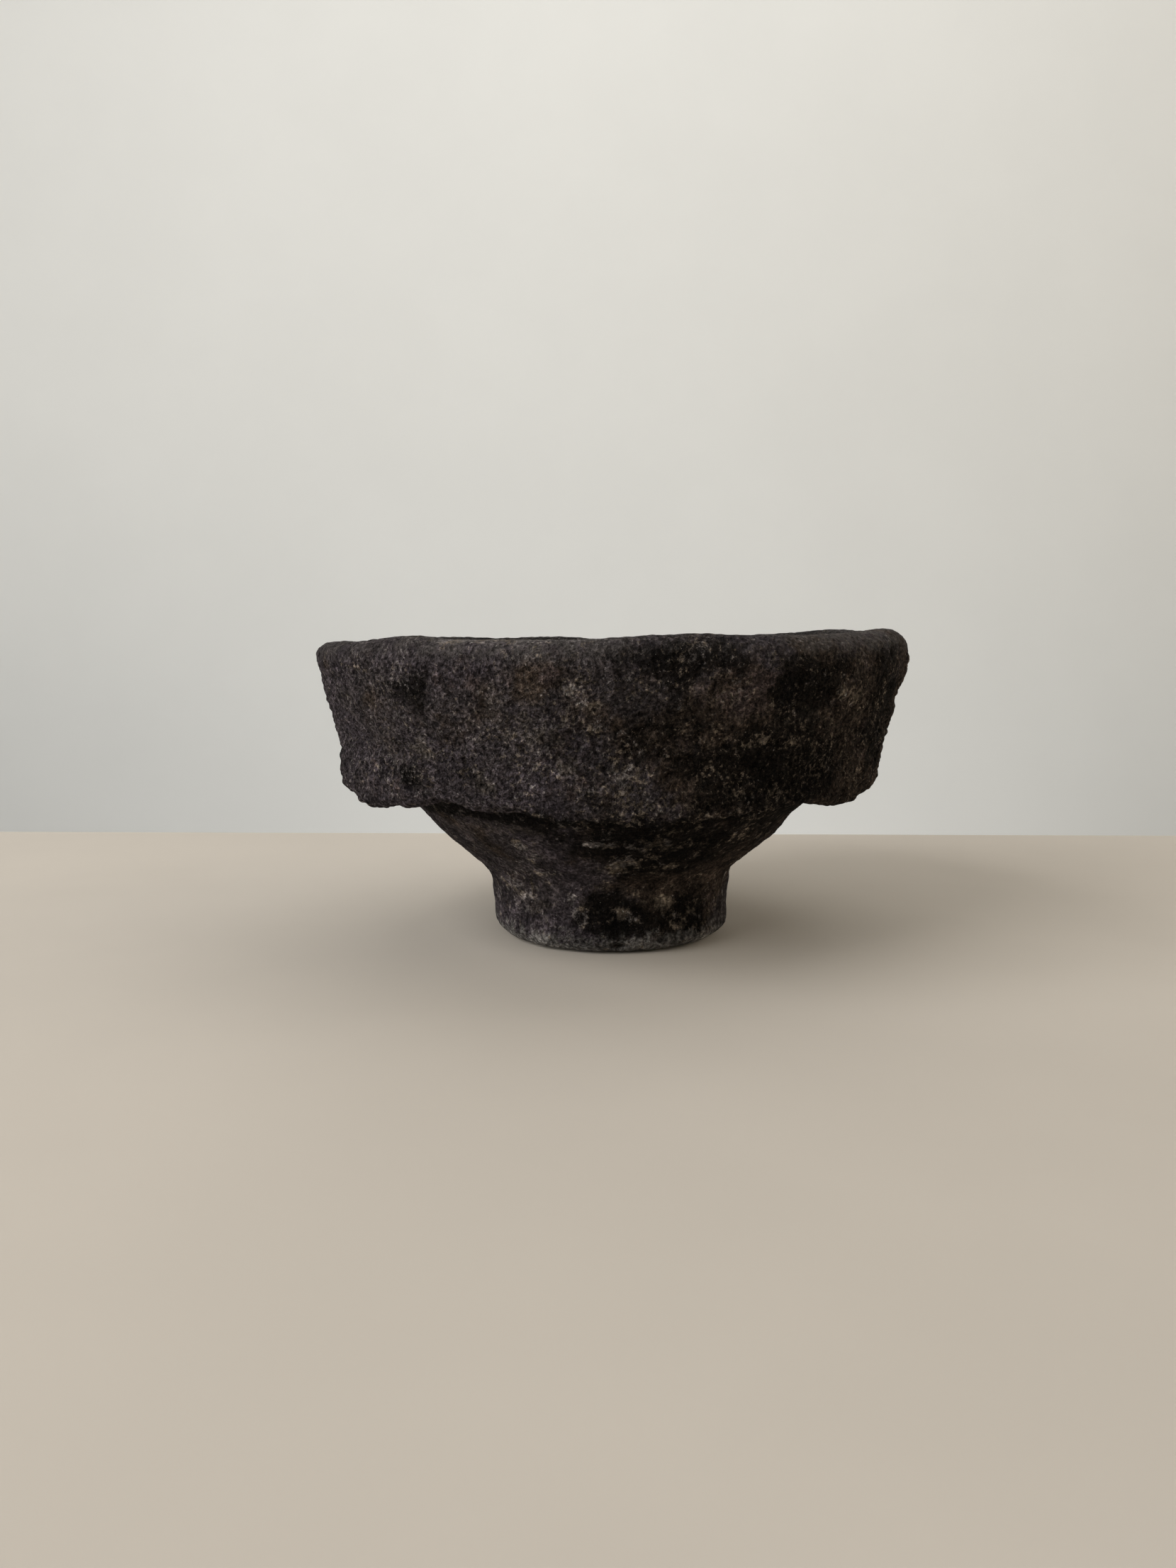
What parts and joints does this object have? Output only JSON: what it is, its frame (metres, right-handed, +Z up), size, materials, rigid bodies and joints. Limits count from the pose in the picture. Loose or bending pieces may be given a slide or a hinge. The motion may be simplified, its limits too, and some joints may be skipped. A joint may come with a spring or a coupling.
{
  "type": "stone mortar and pestle",
  "caption": "Round basalt mortar with a rough-dressed overhanging band, a narrow foot and a deep basin, holding a loose short pestle.",
  "frame": {"origin": "centre of the foot's resting face", "axes": "+Z up out of the basin; +X towards the side where the rim is highest; -Y towards the front"},
  "size_m": [0.1998, 0.2, 0.1056],
  "materials": {
    "mortar_basalt": "rough",
    "tejolote_basalt": "rough"
  },
  "bodies": {
    "mortar_body": {"mortar": "mortar_basalt"},
    "tejolote_body": {"tejolote": "tejolote_basalt"}
  },
  "joints": [
    {"name": "tejolote_lift", "type": "slide", "parent": "mortar_body", "child": "tejolote_body", "axis": [0, 0, 1], "range_m": [0, 0.08]}
  ]
}
